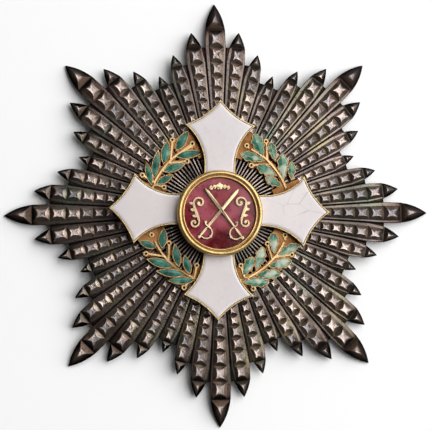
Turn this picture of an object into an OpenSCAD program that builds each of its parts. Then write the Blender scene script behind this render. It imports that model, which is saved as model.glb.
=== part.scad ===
// Breast star of an order: a silver star of 48 studded rays, with a pierced laurel and oak wreath,
// a white enamel cross and a red medallion with crossed sabres.
// It lies on its back on the ends of its longest rays. +Z is the front, +Y is up as it is worn.
// Angles round the star run clockwise from 12 o'clock, seen from the front.

/* [Star rays] */
// Reach of the eight longest rays
reach_long = 42.5; // [38:0.5:50]
// Reach of the rays beside them
reach_second = 36.9; // [34:0.1:40]
// Reach of the third rays
reach_third = 33.1; // [31:0.1:36]
// Reach of the shortest rays, midway between two long ones
reach_short = 29.9; // [28:0.1:32]
// Thickness of the silver between the studs and the back
star_wall = 1.1; // [0.8:0.1:1.8]
// Height of the hollow back above the ends of the rays
dish_rise = 3.4; // [2.4:0.1:5]
// Outer edge of the first ring of studs
ring_outer = 40.7; // [37:0.1:42]
// Each ring of studs reaches this share of the one outside it
ring_step = 0.907; // [0.88:0.001:0.92]
// Height of a stud, as a share of its distance from the centre
stud_slope = 0.022; // [0.012:0.001:0.03]
// Depth of the grooves between the rays
groove_d = 0.45; // [0.2:0.05:0.7]
// Width of the strip left between two rays
groove_w = 0.24; // [0.1:0.02:0.6]
// Length of the pointed arch that ends a ray
lancet_l = 7.7; // [5:0.1:10]
// Roundness of that arch, with 1 for straight sides
lancet_round = 2.5; // [1:0.1:4]
// Widest that a ray gets
ray_w = 4.2; // [3.4:0.1:5]
// Thickness of the silver at the end of a ray
tip_t = 0.45; // [0.3:0.05:0.8]
// Length from which the end of a ray stands as high as the studs
lance_full = 4; // [3:0.1:6]

/* [Fluted middle] */
// Outer edge of the flutes, under the wreath
flute_outer = 14.5; // [13:0.1:16]
// Inner edge of the flutes, under the medallion
flute_inner = 7.7; // [6:0.1:9]
// Depth of a flute
flute_d = 0.34; // [0.15:0.01:0.5]
// Radius of the flat seat in the middle
seat_r = 7.1; // [5:0.1:7.5]

/* [Wreath] */
// Radius at the inner tips of the leaves
wreath_in = 11.0; // [10.5:0.1:12]
// Radius at the outer tips of the leaves
wreath_out = 17.5; // [16.5:0.1:19]
// Thickness of the pierced plate
plate_t = 0.55; // [0.4:0.05:0.9]
// Height of the cell walls, stems and berries over the plate
relief_h = 0.4; // [0.2:0.05:0.6]
// Thickness of the gold wall round an enamel field of the wreath
cell_wall = 0.14; // [0.1:0.02:0.3]
// Width of a laurel leaf's enamel
laurel_w = 1.35; // [0.9:0.05:1.7]
// Width of an oak leaf's enamel
oak_w = 2.0; // [1.1:0.05:2.2]
// Width of a stem
stem_w = 0.35; // [0.3:0.05:0.8]
// Diameter of a berry
berry_d = 1.0; // [0.8:0.05:1.5]
// Diameter of the hole in a berry
berry_hole = 0.5; // [0.2:0.05:0.7]
// Width of bare plate that shows beyond the cell walls
plate_step = 0.1; // [0.05:0.01:0.2]
// Radius in the inner corners of the plate's outline
plate_fillet = 0.15; // [0.05:0.05:0.4]

/* [Cross] */
// Reach of an arm's middle point
arm_reach = 22.0; // [21:0.1:25]
// Distance of an arm's two corners along the arm
corner_along = 16.9; // [16:0.1:19]
// Distance of an arm's two corners from its middle line
corner_out = 7.05; // [6:0.05:8.5]
// Width of an arm beside the medallion
neck_w = 6.15; // [5:0.05:7]
// Distance from the centre at which an arm starts to flare
flare_from = 8.8; // [8:0.1:11]
// Radius of the hollow curves that end an arm
end_r = 14; // [8:0.5:30]
// Thickness of the gold cross
cross_t = 1.35; // [1:0.05:2]
// Width of the gold edge round the white enamel
edge_w = 0.28; // [0.2:0.02:0.5]
// Depth of the fields that hold the white enamel
field_d = 0.7; // [0.4:0.05:0.9]
// Height of the white enamel over its gold edge
enamel_proud = 0.1; // [0.02:0.02:0.2]
// Radius of the boss under the cross
boss_r = 6.5; // [5:0.1:7]
// Length of the white enamel that the medallion covers
field_under = 1.2; // [0.6:0.1:2]
// The cross sits this far to the right of the star's middle
cross_right = -0.2; // [-0.6:0.05:0.6]
// The cross sits this far above the star's middle
cross_up = 0.3; // [-0.6:0.05:0.6]
// The cross is turned clockwise by this many degrees against the rays
cross_turn = 1.5; // [-4:0.5:4]

/* [Medallion] */
// Outer diameter of the medallion
medallion_d = 17.0; // [16:0.1:19]
// Diameter of the red enamel
red_d = 14.0; // [13:0.1:15.5]
// Height of the medallion
medallion_t = 2.0; // [1.6:0.1:2.8]
// Thickness of the medallion's floor
floor_t = 0.6; // [0.4:0.1:1]
// Thickness of the red enamel
red_t = 0.7; // [0.4:0.05:0.9]
// Height of the red enamel's middle over its edge
red_crown = 0.1; // [0:0.05:0.3]
// Radius of the bead along the inside of the rim
bead_r = 0.35; // [0.2:0.05:0.5]
// Width of the step on the outside of the rim
rim_step = 0.3; // [0.2:0.05:0.5]
// Height of the gold figures over the red enamel
figure_h = 0.35; // [0.2:0.05:0.5]
// The medallion sits this far to the right of the star's middle
medallion_right = -0.25; // [-0.6:0.05:0.6]
// The medallion sits this far above the star's middle
medallion_up = -0.5; // [-0.6:0.05:0.6]
// Clearance between the ends of a sabre and the edge of the red enamel, if it lay across the middle
sabre_clear = 0.85; // [0.4:0.05:1.2]
// Width of a sabre's blade
blade_w = 0.6; // [0.4:0.02:0.9]
// Half the angle between the two sabres
sabre_turn = 38.5; // [30:0.5:42]

/* [Back] */
// Diameter of the hidden rivet
rivet_d = 3.0; // [2:0.1:4]
// Diameter of the brooch pin
pin_d = 1.1; // [0.8:0.05:1.3]
// Length of the brooch pin between its brackets
pin_l = 52; // [40:1:56]
// Height of the pin over the surface that the star lies on
pin_clear = 0.3; // [0.1:0.05:0.6]
// Width of a bracket of the pin
foot_w = 3.4; // [2:0.1:5]
// Length of a bracket along the pin
foot_l = 3.0; // [2:0.1:5]

/* [Fits] */
// Gap between two pieces that are set together
fit_gap = 0.05; // [0.03:0.01:0.1]
// Distance that a hole or a field is cut past the face it opens on
overrun = 1; // [0.5:0.1:2]

/* [Hidden] */
$fn = 96;
silver = "#6f675f";
gold = "#c9a661";
old_gold = "#c4935a";
white_enamel = "#dcd5d4";
laurel_green = "#4b9a7d";
oak_green = "#7db294";
red_enamel = "#8c3540";

// Rays of one eighth of the star, by length, and how far each length reaches
n_rays = 48;
ray_turn = 360 / n_rays;
LENGTHS = [0, 1, 2, 3, 2, 1];
REACH = [reach_long, reach_second, reach_third, reach_short];
// Ring edge at which the studs of a ray of each length start
FIRST = [1, 2, 3, 4];
last_ring = 9;

// Heights of the pieces, stacked from the star body up
seat_z = dish_rise + star_wall;
wreath_z = seat_z + 3 * fit_gap;
cross_z = wreath_z + plate_t + relief_h + fit_gap;
medallion_z = cross_z + cross_t + enamel_proud + fit_gap;
red_z = medallion_z + floor_t + fit_gap;
figure_z = red_z + red_t + fit_gap;
cross_at = [cross_right, cross_up, 0];
medallion_at = [medallion_right, medallion_up, 0];
rivet_hole = rivet_d + 4 * fit_gap;
sabre_l = red_d - 2 * sabre_clear;

// Laurel leaves: climb of the foot up the left side from 6 o'clock, in degrees, its place across the
// wreath (0 inner edge, 1 outer edge), the same two for the tip, and its share of laurel_w
LAUREL = [
    [27, 0.39, 39, 0.04, 0.95], [38, 0.38, 54, 0.02, 1.0], [59, 0.38, 73, 0.1, 1.1],
    [62, 0.56, 70, 0.9, 0.9], [42, 0.52, 57, 0.94, 1.1], [31, 0.52, 47, 0.94, 1.0],
    [22, 0.54, 37, 0.92, 0.9], [113, 0.56, 124, 0.98, 0.8], [118.5, 0.58, 135, 0.94, 0.95],
    [132, 0.58, 144, 0.98, 1.1], [146, 0.62, 159, 0.95, 1.15], [143, 0.46, 164, 0.22, 1.0],
    [127, 0.42, 144, 0.13, 1.0], [115, 0.4, 128, 0.14, 0.85]
];

// Oak leaves on the right side, in the same way, with shares of oak_w
OAK = [
    [20, 0.36, 35, 0.02, 1.0], [32, 0.38, 50, 0.02, 1.0], [53, 0.38, 68, 0.07, 1.0],
    [53, 0.52, 67, 0.91, 0.9], [42, 0.55, 55, 0.95, 1.0], [30, 0.55, 44, 0.93, 1.0],
    [18, 0.56, 34, 0.91, 0.95], [117, 0.52, 132, 0.95, 1.05], [114.5, 0.75, 124, 1.01, 0.75],
    [113, 0.36, 126, 0.09, 0.85], [123, 0.38, 140, 0.15, 1.0], [142, 0.5, 155, 0.93, 1.15],
    [133, 0.66, 143, 0.96, 0.8], [139, 0.4, 159, 0.21, 0.95]
];

// Berries: side (-1 left, 1 right), climb of the stalk's foot, climb of the berry, its place across
BERRIES = [
    [-1, 71, 72, 0.5], [-1, 52, 61, 0.9], [-1, 47, 59, 0.13], [-1, 22, 24, 0.09],
    [-1, 24, 26, 0.86], [-1, 137, 147.5, 0.94], [-1, 148, 159, 0.56], [-1, 134, 148, 0.15],
    [-1, 115, 116, 0.92], [-1, 113, 114.5, 0.17], [1, 47, 56, 0.06], [1, 67, 70, 0.43],
    [1, 50, 59, 0.87], [1, 22, 23, 0.86], [1, 20, 21, 0.07], [1, 155, 157, 0.52],
    [1, 137, 146, 0.92], [1, 132, 145, 0.05]
];

// Stems: side, climb of the foot and of the end
STEMS = [[-1, 18, 66], [-1, 110, 158], [1, 14, 64], [1, 110, 152]];

// Star body: points

function length_of(k) = LENGTHS[k % len(LENGTHS)];
function ring_r(j) = ring_outer * pow(ring_step, j);
function back_z(r) = dish_rise * (1 - pow(min(r, reach_long) / reach_long, 2));
function front_z(r) = back_z(r) + star_wall;
function turned(a, along, across, z) =
    [along * sin(a) + across * cos(a), along * cos(a) - across * sin(a), z];

// Half the width of ray k at a distance from the centre: its share of the circle, then the arch
function half_w(k, r) =
    let (
        full = min(r * tan(ray_turn / 2) - groove_w / 2, ray_w / 2),
        left = max(REACH[length_of(k)] - r, 0) / lancet_l
    ) left < 1 ? full * (1 - pow(1 - left, lancet_round)) : full;

// Edge of ray k at ring edge j, on its left (-1) or right (1) side
function edge(k, side, j) = turned(k * ray_turn, ring_r(j), side * half_w(k, ring_r(j)), front_z(ring_r(j)));

// Bottom of the groove at the clockwise side of ray k
function groove(k, j) =
    let (r = ring_r(j) / cos(ray_turn / 2), a = ((k + n_rays) % n_rays + 0.5) * ray_turn)
    turned(a, r, 0, front_z(r) - groove_d);

// Point straight behind a point of the front
function behind(p) = [p[0], p[1], back_z(norm([p[0], p[1]]))];
function first_ring(k) = FIRST[length_of(k)];

// Ring edge at which the groove at the clockwise side of ray k opens
function valley(k) = max(first_ring((k + n_rays) % n_rays), first_ring((k + 1) % n_rays));
function quad(a, b, c, d) = [[a, b, c], [a, c, d]];

// Flat-topped stud between ring edges j and j + 1 of ray k
stud_top_across = 0.36;
stud_top_along = 0.24;
function stud(k, j) =
    let (
        outer = ring_r(j), inner = ring_r(j + 1), middle = (outer + inner) / 2,
        reach = (outer - inner) * stud_top_along, a = k * ray_turn,
        z = front_z(middle) + stud_slope * middle,
        w = half_w(k, middle) * stud_top_across,
        tl = turned(a, middle + reach, -w, z), tr = turned(a, middle + reach, w, z),
        bl = turned(a, middle - reach, -w, z), br = turned(a, middle - reach, w, z),
        el = edge(k, -1, j), er = edge(k, 1, j), il = edge(k, -1, j + 1), ir = edge(k, 1, j + 1)
    ) concat(
        quad(tl, tr, br, bl), quad(el, er, tr, tl), quad(er, ir, br, tr),
        quad(ir, il, bl, br), quad(il, el, tl, bl));

// Both slopes of the groove at the clockwise side of ray k, between two ring edges
function groove_faces(k, j) =
    let (n = (k + 1) % n_rays, g = groove(k, j), h = groove(k, j + 1))
    concat(
        quad(edge(k, 1, j), g, h, edge(k, 1, j + 1)),
        quad(g, edge(n, -1, j), edge(n, -1, j + 1), h));

// Lance that ends a ray: a point, two shoulders on each side, and a peak behind the point
lance_peak = 0.52;
SHOULDERS = [0.25, 0.6];
function tip(k) =
    turned(k * ray_turn, REACH[length_of(k)], 0, back_z(REACH[length_of(k)]) + tip_t);
function shoulder(k, side, i) =
    let (
        r1 = REACH[length_of(k)],
        r = r1 - (r1 - ring_r(first_ring(k))) * SHOULDERS[i]
    ) turned(k * ray_turn, r, side * half_w(k, r), front_z(r) - (star_wall - tip_t) * (1 - SHOULDERS[i]));
function lance_faces(k) =
    let (
        r0 = ring_r(first_ring(k)), r1 = REACH[length_of(k)],
        r = r0 + (r1 - r0) * (1 - lance_peak),
        peak = turned(k * ray_turn, r, 0, front_z(r) + stud_slope * r * min(1, (r1 - r0) / lance_full)),
        side = [tip(k), shoulder(k, 1, 0), shoulder(k, 1, 1), edge(k, 1, first_ring(k)),
            edge(k, -1, first_ring(k)), shoulder(k, -1, 1), shoulder(k, -1, 0)]
    ) [for (i = [0:6]) [side[i], side[(i + 1) % 7], peak]];

// Back of a ray: a middle line, and on each side the outline down to the valley, then the groove line
function middle_back(k, j) = behind(turned(k * ray_turn, ring_r(j), 0, 0));
function side_back(k, side, j) =
    let (g = side > 0 ? k : k - 1) behind(j <= valley(g) ? edge(k, side, j) : groove(g, j));
function back_faces(k) =
    let (
        f = first_ring(k), p = behind(tip(k)),
        l = [for (i = [0:1]) behind(shoulder(k, -1, i))], r = [for (i = [0:1]) behind(shoulder(k, 1, i))],
        el = behind(edge(k, -1, f)), er = behind(edge(k, 1, f)), m = middle_back(k, f),
        vl = valley(k - 1), vr = valley(k)
    ) concat(
        [[p, l[0], r[0]], [l[1], el, m], [l[1], m, r[1]], [m, er, r[1]]],
        quad(l[0], l[1], r[1], r[0]),
        [for (j = [f:last_ring - 1]) each concat(
            quad(side_back(k, -1, j), side_back(k, -1, j + 1), middle_back(k, j + 1), middle_back(k, j)),
            quad(middle_back(k, j), middle_back(k, j + 1), side_back(k, 1, j + 1), side_back(k, 1, j)))],
        [[behind(groove(k - 1, vl)), behind(groove(k - 1, vl + 1)), behind(edge(k, -1, vl))],
         [behind(edge(k, 1, vr)), behind(groove(k, vr + 1)), behind(groove(k, vr))]]);

// Outline from the valley on the left of ray k to the valley on its right, and the wall below it
function outline(k) =
    let (f = first_ring(k), vl = valley(k - 1), vr = valley(k))
    concat(
        [groove(k - 1, vl)],
        [for (j = [vl:-1:f]) edge(k, -1, j)],
        [shoulder(k, -1, 1), shoulder(k, -1, 0), tip(k), shoulder(k, 1, 0), shoulder(k, 1, 1)],
        [for (j = [f:1:vr]) edge(k, 1, j)],
        [groove(k, vr)]);
function wall_faces(k) =
    let (path = outline(k))
    [for (i = [0:len(path) - 2])
        each quad(path[i + 1], path[i], behind(path[i]), behind(path[i + 1]))];

// Flutes: a ring of ridges and furrows, four steps to a ray
flute_steps = 4;
function flute(n, r, z) =
    let (m = (n + flute_steps * n_rays) % (flute_steps * n_rays))
    turned(m * ray_turn / flute_steps - ray_turn / 2, r, 0, m % 2 == 0 ? z + flute_d / 2 : z - flute_d / 2);
function outer_flute(n) = flute(n, flute_outer, front_z(ring_r(last_ring)));
function inner_flute(n) = flute(n, flute_inner, seat_z - flute_d / 2);
function seat_edge(k) = turned((k % n_rays - 0.5) * ray_turn, seat_r, 0, seat_z);
function hole_edge(k, z) = turned((k % n_rays - 0.5) * ray_turn, rivet_hole / 2, 0, z);
function middle_faces(k) =
    let (
        n = flute_steps * k, g = groove(k - 1, last_ring), h = groove(k, last_ring),
        el = edge(k, -1, last_ring), er = edge(k, 1, last_ring),
        f = [for (i = [0:flute_steps]) outer_flute(n + i)],
        s = seat_edge(k), t = seat_edge(k + 1),
        top_a = hole_edge(k, seat_z), top_b = hole_edge(k + 1, seat_z),
        back_a = hole_edge(k, dish_rise), back_b = hole_edge(k + 1, dish_rise),
        gb = behind(g), hb = behind(h), mb = middle_back(k, last_ring)
    ) concat(
        [[g, f[1], f[0]], [g, el, f[1]], [el, f[2], f[1]], [el, er, f[2]],
         [er, f[3], f[2]], [er, h, f[3]], [h, f[4], f[3]]],
        [for (i = [0:flute_steps - 1])
            each quad(f[i], f[i + 1], inner_flute(n + i + 1), inner_flute(n + i))],
        [for (i = [0:flute_steps - 1])
            [inner_flute(n + i), inner_flute(n + i + 1), i < flute_steps / 2 ? s : t]],
        [[inner_flute(n + flute_steps / 2), t, s]],
        quad(s, t, top_b, top_a), quad(top_a, top_b, back_b, back_a),
        [[gb, back_a, mb], [mb, back_a, back_b], [mb, back_b, hb]]);

module star_body() {
    facets = [for (k = [0:n_rays - 1]) each concat(
        lance_faces(k), back_faces(k), wall_faces(k), middle_faces(k),
        [for (j = [first_ring(k):last_ring - 1]) each stud(k, j)],
        [for (j = [valley(k):last_ring - 1]) each groove_faces(k, j)])];
    color(silver)
        polyhedron(
            points = [for (f = facets) each f],
            faces = [for (i = [0:len(facets) - 1]) [3 * i, 3 * i + 1, 3 * i + 2]]);
}

// Wreath: flat shapes

function wreath_r(share) = wreath_in + (wreath_out - wreath_in) * share;
function climb_pt(side, climb, r) = [side * r * sin(climb), -r * cos(climb)];

// Outline from a foot to a tip, with a list of half widths at equal steps between them
function leaf_points(foot, end, halves) =
    let (
        n = len(halves) - 1, d = end - foot, u = d / norm(d), v = [-u[1], u[0]],
        left = [for (i = [1:n - 1]) foot + d * i / n + v * halves[i]],
        right = [for (i = [n - 1:-1:1]) foot + d * i / n - v * halves[i]]
    ) concat([foot], left, [end], right);

laurel_steps = 9;
function laurel_half(w) =
    [for (i = [0:laurel_steps]) w / 2 * pow(sin(180 * pow(i / laurel_steps, 0.92)), 0.85)];

// An oak leaf widens towards its tip and has three lobes on each side
oak_steps = 18;
oak_lobes = 3;
function oak_half(w) =
    [for (i = [0:oak_steps]) let (t = i / oak_steps)
        w / 2 * pow(sin(180 * pow(t, 1.4)), 0.6) * (0.84 - 0.16 * cos(360 * (oak_lobes + 0.5) * t))];

function leaf(side, row, halves) =
    leaf_points(
        climb_pt(side, row[0], wreath_r(row[1])), climb_pt(side, row[2], wreath_r(row[3])), halves);
function laurel_points(i) = leaf(-1, LAUREL[i], laurel_half(laurel_w * LAUREL[i][4]));
function oak_points(i) = leaf(1, OAK[i], oak_half(oak_w * OAK[i][4]));

module leaves_2d() {
    for (i = [0:len(LAUREL) - 1]) polygon(laurel_points(i));
    for (i = [0:len(OAK) - 1]) polygon(oak_points(i));
}

// Part of a flat ring between two climbs on one side
module band_2d(side, inner, outer, from, to) {
    steps = 16;
    polygon(concat(
        [for (i = [0:steps]) climb_pt(side, from + (to - from) * i / steps, outer)],
        [for (i = [steps:-1:0]) climb_pt(side, from + (to - from) * i / steps, inner)]));
}

module bar_2d(p, q, w) {
    u = (q - p) / norm(q - p);
    v = [-u[1], u[0]] * w / 2;
    polygon([p + v, q + v, q - v, p - v]);
}

stem_r = wreath_r(0.48);
module stems_2d(w) {
    for (s = STEMS) band_2d(s[0], stem_r - w / 2, stem_r + w / 2, s[1], s[2]);
    for (b = BERRIES) {
        bar_2d(climb_pt(b[0], b[1], stem_r), climb_pt(b[0], b[2], wreath_r(b[3])), w);
    }
}

module berries_2d(d) {
    for (b = BERRIES) translate(climb_pt(b[0], b[2], wreath_r(b[3]))) circle(d = d, $fn = 24);
}

// The plate shows a little beyond the cell walls, and runs on as a ring under the arms of the cross.
// Bands of plain plate: side, climb of the start and of the end, inner and outer edge
HIDDEN_BANDS = [
    [-1, 0, 20, 0.08, 0.92], [-1, 69, 112, 0.08, 0.92], [-1, 160, 180, 0.08, 0.92],
    [1, 0, 19, 0.08, 0.92], [1, 68, 112, 0.08, 0.92], [1, 157, 180, 0.08, 0.92],
    [-1, 64, 70, 0.3, 0.75], [-1, 150, 161, 0.5, 0.92], [1, 62, 69, 0.3, 0.9], [1, 150, 158, 0.25, 0.9]
];
module plate_2d() {
    offset(r = -plate_fillet, $fn = 12) offset(delta = plate_fillet + plate_step) {
        offset(delta = cell_wall) leaves_2d();
        stems_2d(stem_w + 3 * plate_step);
        berries_2d(berry_d);
        for (b = HIDDEN_BANDS) band_2d(b[0], wreath_r(b[3]), wreath_r(b[4]), b[1], b[2]);
    }
}

// Cell walls round the leaves, with the stems and the berries
module relief_2d() {
    offset(delta = -fit_gap) difference() {
        offset(delta = cell_wall + fit_gap) {
            leaves_2d();
            stems_2d(stem_w - 2 * cell_wall);
            berries_2d(berry_d - 2 * cell_wall);
        }
        leaves_2d();
    }
}

module wreath_plate() {
    sunk = plate_t / 2;
    color(old_gold)
        difference() {
            union() {
                translate([0, 0, wreath_z]) linear_extrude(plate_t) plate_2d();
                translate([0, 0, wreath_z + sunk]) linear_extrude(plate_t - sunk + relief_h) relief_2d();
            }
            for (b = BERRIES)
                translate(concat(climb_pt(b[0], b[2], wreath_r(b[3])), wreath_z - overrun))
                    cylinder(d = berry_hole, h = plate_t + relief_h + 2 * overrun, $fn = 24);
        }
}

leaf_t = relief_h - fit_gap;
module wreath_enamel(points, tone) {
    color(tone) translate([0, 0, wreath_z + plate_t + fit_gap / 2]) linear_extrude(leaf_t) polygon(points);
}

// Cross

// Points of an arc between two angles round a centre
function arc(c, r, from, to, steps) =
    [for (i = [0:steps]) c + r * [cos(from + (to - from) * i / steps), sin(from + (to - from) * i / steps)]];

// Right half of the arm that points to 12 o'clock, from the neck to the middle point, set in by an
// edge width. The side flares on a circle that starts tangent to the neck and meets the corner, and
// the end is a hollow curve from the corner to the middle point.
flare_rise = corner_out - neck_w / 2;
flare_r = (pow(corner_along - flare_from, 2) + flare_rise * flare_rise) / (2 * flare_rise);
flare_c = [neck_w / 2 + flare_r, flare_from];
end_chord = norm([corner_out, arm_reach - corner_along]);
end_c = [corner_out / 2, (arm_reach + corner_along) / 2]
    + [arm_reach - corner_along, corner_out] / end_chord * sqrt(end_r * end_r - end_chord * end_chord / 4);
arc_steps = 10;
function angle_of(v) = atan2(v[1], v[0]);

// Point where two circles meet, on the left of the line between their centres
function meet(c1, r1, c2, r2) =
    let (
        d = norm(c2 - c1), u = (c2 - c1) / d,
        along = (r1 * r1 - r2 * r2 + d * d) / (2 * d)
    ) c1 + u * along + [-u[1], u[0]] * sqrt(r1 * r1 - along * along);

function half_arm(inner, inset) =
    let (
        r1 = flare_r + inset, r2 = end_r + inset,
        corner = meet(flare_c, r1, end_c, r2),
        point = [0, end_c[1] - sqrt(r2 * r2 - end_c[0] * end_c[0])],
        side = arc(flare_c, r1, 180, angle_of(corner - flare_c), arc_steps),
        end = arc(end_c, r2, angle_of(corner - end_c), angle_of(point - end_c), arc_steps)
    ) concat([[neck_w / 2 - inset, inner]], side, [for (i = [1:arc_steps - 1]) end[i]], [point]);

function whole_arm(inner, inset) =
    let (right = half_arm(inner, inset), n = len(right))
    concat(right, [for (i = [n - 2:-1:0]) [-right[i][0], right[i][1]]]);

field_inner = medallion_d / 2 - field_under;

// Outline of the whole cross: four arms, each from the notch on its right up to the one on its left
arm_points = whole_arm(neck_w / 2, 0);
cross_points = [for (i = [0:3], j = [0:len(arm_points) - 2])
    let (p = arm_points[j], a = 90 * i)
    [p[0] * cos(a) - p[1] * sin(a), p[0] * sin(a) + p[1] * cos(a)]];

// The boss under the arms fills the notches up to a third of the arms' thickness
module cross_frame() {
    color(gold)
        difference() {
            translate(cross_at) union() {
                rotate([0, 0, -cross_turn]) translate([0, 0, cross_z])
                    linear_extrude(cross_t) polygon(cross_points);
                translate([0, 0, seat_z + fit_gap])
                    cylinder(r = boss_r, h = cross_z + cross_t / 3 - seat_z - fit_gap);
            }
            for (i = [0:3])
                translate(cross_at) rotate([0, 0, 90 * i - cross_turn])
                    translate([0, 0, cross_z + cross_t - field_d])
                        linear_extrude(field_d + overrun) polygon(whole_arm(field_inner, edge_w));
            translate([0, 0, seat_z - overrun])
                cylinder(d = rivet_hole, h = overrun + cross_z - seat_z + cross_t / 2);
        }
}

module enamel_arm(turn) {
    color(white_enamel) translate(cross_at) rotate([0, 0, turn - cross_turn])
        translate([0, 0, cross_z + cross_t - field_d + fit_gap])
            linear_extrude(field_d - fit_gap + enamel_proud)
                polygon(whole_arm(field_inner + fit_gap, edge_w + fit_gap));
}

// Medallion

rim_top = medallion_z + medallion_t;
module medallion_rim() {
    outer = medallion_d / 2;
    inner = red_d / 2;
    crest = bead_r + fit_gap;
    color(gold) translate(medallion_at) rotate_extrude() {
        difference() {
            union() {
                translate([0, medallion_z]) square([outer - rim_step, medallion_t - bead_r]);
                translate([0, medallion_z]) square([outer, medallion_t - bead_r - rim_step]);
                translate([outer - rim_step / 2 - crest, rim_top - crest]) circle(r = crest, $fn = 32);
                translate([inner + bead_r, rim_top - bead_r - 2 * fit_gap]) circle(r = bead_r, $fn = 32);
            }
            translate([-overrun, medallion_z + floor_t]) square([inner + overrun, medallion_t]);
        }
    }
}

module medallion_enamel() {
    color(red_enamel) translate(medallion_at) rotate_extrude()
        polygon(concat(
            [[0, red_z], [red_d / 2 - fit_gap, red_z]],
            [for (i = [8:-1:0]) [(red_d / 2 - fit_gap) * i / 8, red_z + red_t - red_crown * pow(i / 8, 2)]]));
}

// A stroke along a path, thin at both ends and full in the middle
function stroke(path, thin, full) =
    let (
        n = len(path) - 1,
        way = [for (i = [0:n]) let (d = path[min(i + 1, n)] - path[max(i - 1, 0)]) d / norm(d)],
        w = [for (i = [0:n]) (thin + (full - thin) * sin(180 * i / n)) / 2]
    ) concat(
        [for (i = [0:n]) path[i] + [-way[i][1], way[i][0]] * w[i]],
        [for (i = [n:-1:0]) path[i] - [-way[i][1], way[i][0]] * w[i]]);

// Sabre in its own frame: pommel at the origin, blade along +Y, knuckle bow on the -X side
grip_l = sabre_l * 0.22;
grip_w = sabre_l * 0.037;
guard_w = sabre_l * 0.11;
bow_r = sabre_l * 0.096;
bar_w = sabre_l * 0.02;
ball_d = sabre_l * 0.04;
module sabre_2d() {
    blade_half = blade_w / 2;
    shoulder_y = sabre_l * 0.62;
    bow_c = [-guard_w * 0.39, grip_l - bow_r];
    knob = [guard_w * 0.64, grip_l + ball_d * 0.78];
    polygon([[-grip_w * 0.42, grip_l], [grip_w * 0.42, grip_l], [blade_half, shoulder_y],
        [blade_half, sabre_l - 1.6 * blade_w], [0, sabre_l], [-blade_half, sabre_l - 1.3 * blade_w],
        [-blade_half, shoulder_y]]);
    polygon(leaf_points([0, 0], [0, grip_l], grip_w * [0.36, 0.4, 0.5, 0.4, 0.36]));
    circle(d = ball_d * 1.2, $fn = 16);
    bar_2d([-guard_w / 2, grip_l], [guard_w / 2, grip_l], bar_w * 1.15);
    bar_2d([guard_w / 2, grip_l], knob, bar_w);
    translate(knob) circle(d = ball_d, $fn = 16);
    polygon(stroke(arc(bow_c, bow_r, 90, 270, 14), bar_w * 0.8, bar_w));
    bar_2d(bow_c - [0, bow_r], [0, ball_d * 0.5], bar_w * 0.8);
    translate(bow_c - [bow_r, 0]) circle(d = ball_d, $fn = 16);
}

// The sabres cross a little above and to the right of the medallion's middle, turned clockwise
sabre_cross = sabre_l * 0.56;
sabres_at = sabre_l * [0.022, 0.05];
sabres_turn = 1.8;
module sabres_2d() {
    offset(delta = join) for (s = [-1, 1])
        translate(sabres_at) rotate(-s * sabre_turn - sabres_turn) mirror([s > 0 ? 1 : 0, 0])
            translate([0, -sabre_cross]) sabre_2d();
}

// Gold ornament that stands on the red enamel, each one with its strokes joined by this much
join = 0.01;
module figure() {
    color(gold) translate(medallion_at) translate([0, 0, figure_z]) linear_extrude(figure_h) children();
}

module crossed_sabres() {
    figure() sabres_2d();
}

// Small pointed leaf from a foot to a tip
function small_leaf(foot, end, w) = leaf_points(foot, end, w * [0, 0.4, 0.5, 0.35, 0]);

// Scroll beside the sabres: a curved stem between two curls that turn opposite ways and end in balls,
// with three small leaves towards the rim. All its sizes are shares of the red enamel's radius.
function curl(c, r0, r1, from, to) =
    [for (i = [0:18]) let (t = i / 18, r = r0 + (r1 - r0) * t, a = from + (to - from) * t)
        c + r * [cos(a), sin(a)]];
function bezier(p, steps) =
    [for (i = [0:steps]) let (t = i / steps, u = 1 - t)
        u * u * u * p[0] + 3 * u * u * t * p[1] + 3 * u * t * t * p[2] + t * t * t * p[3]];
scroll = red_d / 2;
scroll_line = scroll * 0.05;
module scroll_2d() {
    top_c = scroll * [0.58, 0.3];
    low_c = scroll * [0.73, -0.27];
    top_r = scroll * 0.165;
    low_r = scroll * 0.135;
    path = bezier([top_c + top_r * [cos(12), sin(12)], scroll * [0.77, 0.14], scroll * [0.6, -0.06],
        low_c + low_r * [cos(172), sin(172)]], 14);
    offset(delta = join) {
        polygon(stroke(path, scroll_line * 0.85, scroll_line * 1.5));
        polygon(stroke(curl(top_c, top_r, top_r * 0.3, 6, 340), scroll_line * 0.7, scroll_line));
        polygon(stroke(curl(low_c, low_r, low_r * 0.3, 166, 500), scroll_line * 0.7, scroll_line));
        translate(top_c + top_r * [0.12, -0.08]) circle(d = scroll_line * 1.7, $fn = 16);
        translate(low_c - low_r * [0.12, -0.1]) circle(d = scroll_line * 1.5, $fn = 16);
        for (i = [2, 6, 10])
            polygon(small_leaf(path[i], path[i] + scroll * [0.12 + 0.004 * i, 0.06 - 0.004 * i],
                scroll_line * 1.7));
    }
}
module flourish(turn) {
    figure() mirror([turn, 0]) scroll_2d();
}

// Garland: a small rosette at the top with two leaves on each side of it, on a thin stem
garland_r = scroll * 0.76;
petal_d = scroll * 0.08;
petals = 5;
module garland_2d() {
    offset(delta = join) {
        translate([0, garland_r]) circle(d = petal_d, $fn = 16);
        translate([0, garland_r])
            for (i = [1:petals]) rotate(i * 360 / petals) translate([0, petal_d * 0.75])
                circle(d = petal_d, $fn = 16);
        polygon(stroke(arc([0, 0], garland_r, 69, 111, 16), scroll_line * 0.45, scroll_line * 0.6));
        for (s = [-1, 1], a = [7, 14.5])
            polygon(small_leaf(
                garland_r * [s * sin(a), cos(a)], garland_r * [s * sin(a + 8), cos(a + 8)], petal_d * 1.6));
    }
}
module garland() {
    figure() garland_2d();
}

// Back

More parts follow.
